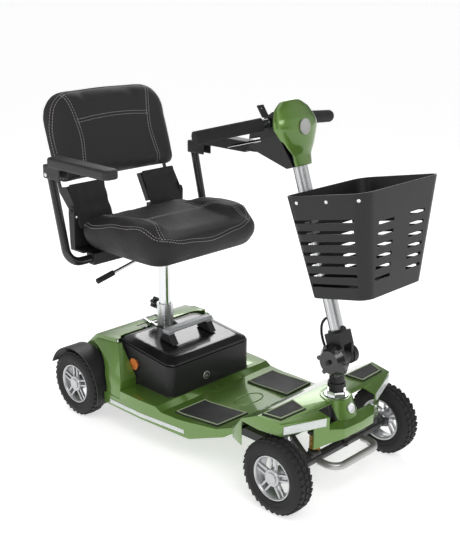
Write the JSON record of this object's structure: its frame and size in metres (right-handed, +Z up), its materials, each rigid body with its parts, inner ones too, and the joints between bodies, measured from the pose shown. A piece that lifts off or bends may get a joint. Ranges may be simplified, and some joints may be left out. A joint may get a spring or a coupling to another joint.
{
  "type": "mobility scooter",
  "caption": "Portable electric mobility scooter with a swivelling seat, folding armrests, tilting tiller, front basket and lift-out battery box.",
  "frame": {"origin": "on the ground below the middle of the scooter's overall length and width", "axes": "+X forward, +Y to the rider's left, +Z up"},
  "size_m": [1.1391, 0.624, 1.0008],
  "materials": {
    "green_body": "gloss",
    "black_frame": "satin",
    "black_tube": "gloss",
    "seat_bracket": "satin",
    "black_moulding": "satin",
    "basket_plastic": "satin",
    "knob_plastic": "satin",
    "arm_pad_foam": "satin",
    "grip_foam": "matte",
    "cable_sheath": "matte",
    "vinyl_cover": "matte",
    "mat_rubber": "matte",
    "tyre_rubber": "matte",
    "roller_rubber": "matte",
    "alloy": "satin",
    "bar_alloy": "satin",
    "bright_steel": "polished",
    "satin_steel": "satin",
    "silver_grip": "satin",
    "white_reflector": "gloss",
    "orange_lens": "gloss",
    "red_button": "satin",
    "spring_yellow": "gloss",
    "cast_housing": "matte",
    "controller_case": "satin",
    "cell_case": "matte"
  },
  "bodies": {
    "chassis": {"main_frame": "black_frame", "column_nut": "bright_steel", "deck_cover": "green_body", "rear_cover": "green_body", "front_cover": "green_body", "floor_mats": "mat_rubber", "reflective_strips": "white_reflector", "seat_socket": "alloy", "controller": "controller_case", "transaxle": "cast_housing", "rear_mudguards": "black_moulding"},
    "clamp_knob": {"post_clamp_knob": "knob_plastic"},
    "catch_lever": {"release_lever": "bright_steel"},
    "freewheel": {"freewheel_lever": "knob_plastic"},
    "anti_tip": {"anti_tip_wheels": "roller_rubber"},
    "battery": {"battery_case": "black_moulding", "battery_lid": "black_moulding", "battery_handle": "silver_grip", "side_reflectors": "orange_lens", "battery_cells": "cell_case"},
    "column": {"steering_column": "bright_steel", "column_neck": "black_moulding"},
    "tiller": {"tiller_bracket": "black_moulding", "tiller_tube": "alloy", "head_shroud": "green_body", "head_housing": "black_moulding", "handlebar": "bar_alloy", "grips": "grip_foam", "tiller_cable": "cable_sheath", "basket_bracket": "black_moulding"},
    "tilt_lock": {"tilt_knob": "knob_plastic"},
    "throttle": {"throttle_lever": "knob_plastic"},
    "key": {"ignition_key": "knob_plastic"},
    "dial": {"speed_dial": "knob_plastic"},
    "horn": {"horn_button": "red_button"},
    "front_basket": {"basket": "basket_plastic"},
    "suspension": {"front_axle": "black_frame", "front_springs": "spring_yellow", "front_bumper": "satin_steel"},
    "left_knuckle": {"knuckle_left": "black_frame"},
    "right_knuckle": {"knuckle_right": "black_frame"},
    "steering_link": {"tie_rod": "black_frame"},
    "front_left_wheel": {"tyre_front_left": "tyre_rubber", "rim_front_left": "alloy"},
    "front_right_wheel": {"tyre_front_right": "tyre_rubber", "rim_front_right": "alloy"},
    "rear_left_wheel": {"tyre_rear_left": "tyre_rubber", "rim_rear_left": "alloy"},
    "rear_right_wheel": {"tyre_rear_right": "tyre_rubber", "rim_rear_right": "alloy"},
    "post": {"seat_post": "bright_steel"},
    "seat": {"seat_plate": "seat_bracket", "cushion": "vinyl_cover"},
    "swivel_lever": {"seat_lever": "bright_steel"},
    "backrest": {"backrest_frame": "black_moulding", "backrest_pad": "vinyl_cover"},
    "left_armrest": {"armrest_left": "black_tube"},
    "right_armrest": {"armrest_right": "black_tube"},
    "left_arm_pad": {"arm_pad_left": "arm_pad_foam"},
    "right_arm_pad": {"arm_pad_right": "arm_pad_foam"}
  },
  "joints": [
    {"name": "rear_left_wheel_spin", "type": "hinge", "parent": "chassis", "child": "rear_left_wheel", "pos_m": [-0.405, 0.236, 0.102], "axis": [0, 1, 0], "continuous": true},
    {"name": "rear_right_wheel_spin", "type": "hinge", "parent": "chassis", "child": "rear_right_wheel", "pos_m": [-0.405, -0.236, 0.102], "axis": [0, 1, 0], "continuous": true},
    {"name": "anti_tip_wheels_spin", "type": "hinge", "parent": "chassis", "child": "anti_tip", "pos_m": [-0.506, 0, 0.044], "axis": [0, 1, 0], "continuous": true},
    {"name": "front_suspension_arm", "type": "hinge", "parent": "chassis", "child": "suspension", "pos_m": [0.288, 0, 0.148], "axis": [0, -1, 0], "range_deg": [-1, 1.5], "stiffness_Nm_per_rad": 1500, "springref_deg": -0.84, "deforming": ["front_springs"]},
    {"name": "tiller_steer", "type": "hinge", "parent": "chassis", "child": "column", "pos_m": [0.4, 0, 0.2], "axis": [0, 0, 1], "range_deg": [-30, 30]},
    {"name": "left_knuckle_steer", "type": "hinge", "parent": "suspension", "child": "left_knuckle", "pos_m": [0.4, 0.184, 0.102], "axis": [0, 0, 1], "range_deg": [-30, 30]},
    {"name": "right_knuckle_steer", "type": "hinge", "parent": "suspension", "child": "right_knuckle", "pos_m": [0.4, -0.184, 0.102], "axis": [0, 0, 1], "range_deg": [-30, 30]},
    {"name": "tie_rod_swing", "type": "hinge", "parent": "left_knuckle", "child": "steering_link", "pos_m": [0.436, 0.184, 0.12], "axis": [0, 0, 1], "range_deg": [-30, 30]},
    {"name": "front_left_wheel_spin", "type": "hinge", "parent": "left_knuckle", "child": "front_left_wheel", "pos_m": [0.4, 0.2275, 0.102], "axis": [0, 1, 0], "continuous": true},
    {"name": "front_right_wheel_spin", "type": "hinge", "parent": "right_knuckle", "child": "front_right_wheel", "pos_m": [0.4, -0.2275, 0.102], "axis": [0, 1, 0], "continuous": true},
    {"name": "tiller_tilt", "type": "hinge", "parent": "column", "child": "tiller", "pos_m": [0.412, 0, 0.362], "axis": [0, 1, 0], "range_deg": [-6, 20]},
    {"name": "tilt_knob_turn", "type": "hinge", "parent": "column", "child": "tilt_lock", "pos_m": [0.412, 0, 0.362], "axis": [0, 1, 0], "range_deg": [0, 180]},
    {"name": "throttle_turn", "type": "hinge", "parent": "tiller", "child": "throttle", "pos_m": [0.14808, 0, 0.89485], "axis": [-0.3289, 0, 0.9444], "range_deg": [-15, 15], "stiffness_Nm_per_rad": 0.6},
    {"name": "key_turn", "type": "hinge", "parent": "tiller", "child": "key", "pos_m": [0.1695, -0.038, 0.9489], "axis": [-0.5906, 0, 0.807], "range_deg": [0, 90]},
    {"name": "speed_dial_turn", "type": "hinge", "parent": "tiller", "child": "dial", "pos_m": [0.1695, 0, 0.9489], "axis": [-0.5906, 0, 0.807], "range_deg": [-135, 135]},
    {"name": "horn_press", "type": "slide", "parent": "tiller", "child": "horn", "axis": [0.5906, 0, -0.807], "range_m": [0, 0.003], "stiffness_N_per_m": 400, "springref_m": -0.001},
    {"name": "basket_lift", "type": "slide", "parent": "tiller", "child": "front_basket", "axis": [-0.1994, 0, 0.9799], "range_m": [0, 0.06]},
    {"name": "battery_lift", "type": "slide", "parent": "chassis", "child": "battery", "axis": [0, 0, 1], "range_m": [0, 0.12]},
    {"name": "catch_lever_lift", "type": "hinge", "parent": "chassis", "child": "catch_lever", "pos_m": [-0.314, 0, 0.262], "axis": [0, 1, 0], "range_deg": [0, 35]},
    {"name": "freewheel_lever_turn", "type": "hinge", "parent": "chassis", "child": "freewheel", "pos_m": [-0.467, -0.096, 0.104], "axis": [0, 1, 0], "range_deg": [0, 30]},
    {"name": "clamp_knob_turn", "type": "hinge", "parent": "chassis", "child": "clamp_knob", "pos_m": [-0.325, 0, 0.324], "axis": [1, 0, 0], "range_deg": [0, 180]},
    {"name": "seat_height", "type": "slide", "parent": "chassis", "child": "post", "axis": [0, 0, 1], "range_m": [0, 0.06]},
    {"name": "seat_swivel", "type": "hinge", "parent": "post", "child": "seat", "pos_m": [-0.273, 0, 0.5], "axis": [0, 0, 1], "range_deg": [-90, 90]},
    {"name": "swivel_lever_lift", "type": "hinge", "parent": "seat", "child": "swivel_lever", "pos_m": [-0.273, -0.091, 0.497], "axis": [-1, 0, 0], "range_deg": [0, 15], "stiffness_Nm_per_rad": 1.2, "springref_deg": -20.05},
    {"name": "backrest_fold", "type": "hinge", "parent": "seat", "child": "backrest", "pos_m": [-0.434, 0, 0.633], "axis": [0, 1, 0], "range_deg": [0, 90]},
    {"name": "left_armrest_slide", "type": "slide", "parent": "seat", "child": "left_armrest", "axis": [0, 1, 0], "range_m": [0, 0.05]},
    {"name": "right_armrest_slide", "type": "slide", "parent": "seat", "child": "right_armrest", "axis": [0, -1, 0], "range_m": [0, 0.05]},
    {"name": "left_arm_pad_lift", "type": "hinge", "parent": "left_armrest", "child": "left_arm_pad", "pos_m": [-0.43372, 0.279, 0.75287], "axis": [0, -1, 0], "range_deg": [0, 90]},
    {"name": "right_arm_pad_lift", "type": "hinge", "parent": "right_armrest", "child": "right_arm_pad", "pos_m": [-0.43372, -0.279, 0.75287], "axis": [0, -1, 0], "range_deg": [0, 90]}
  ],
  "couplings": [
    {"joint": "left_knuckle_steer", "follows": "tiller_steer", "ratio": 1},
    {"joint": "right_knuckle_steer", "follows": "tiller_steer", "ratio": 1},
    {"joint": "tie_rod_swing", "follows": "tiller_steer", "ratio": -1}
  ]
}
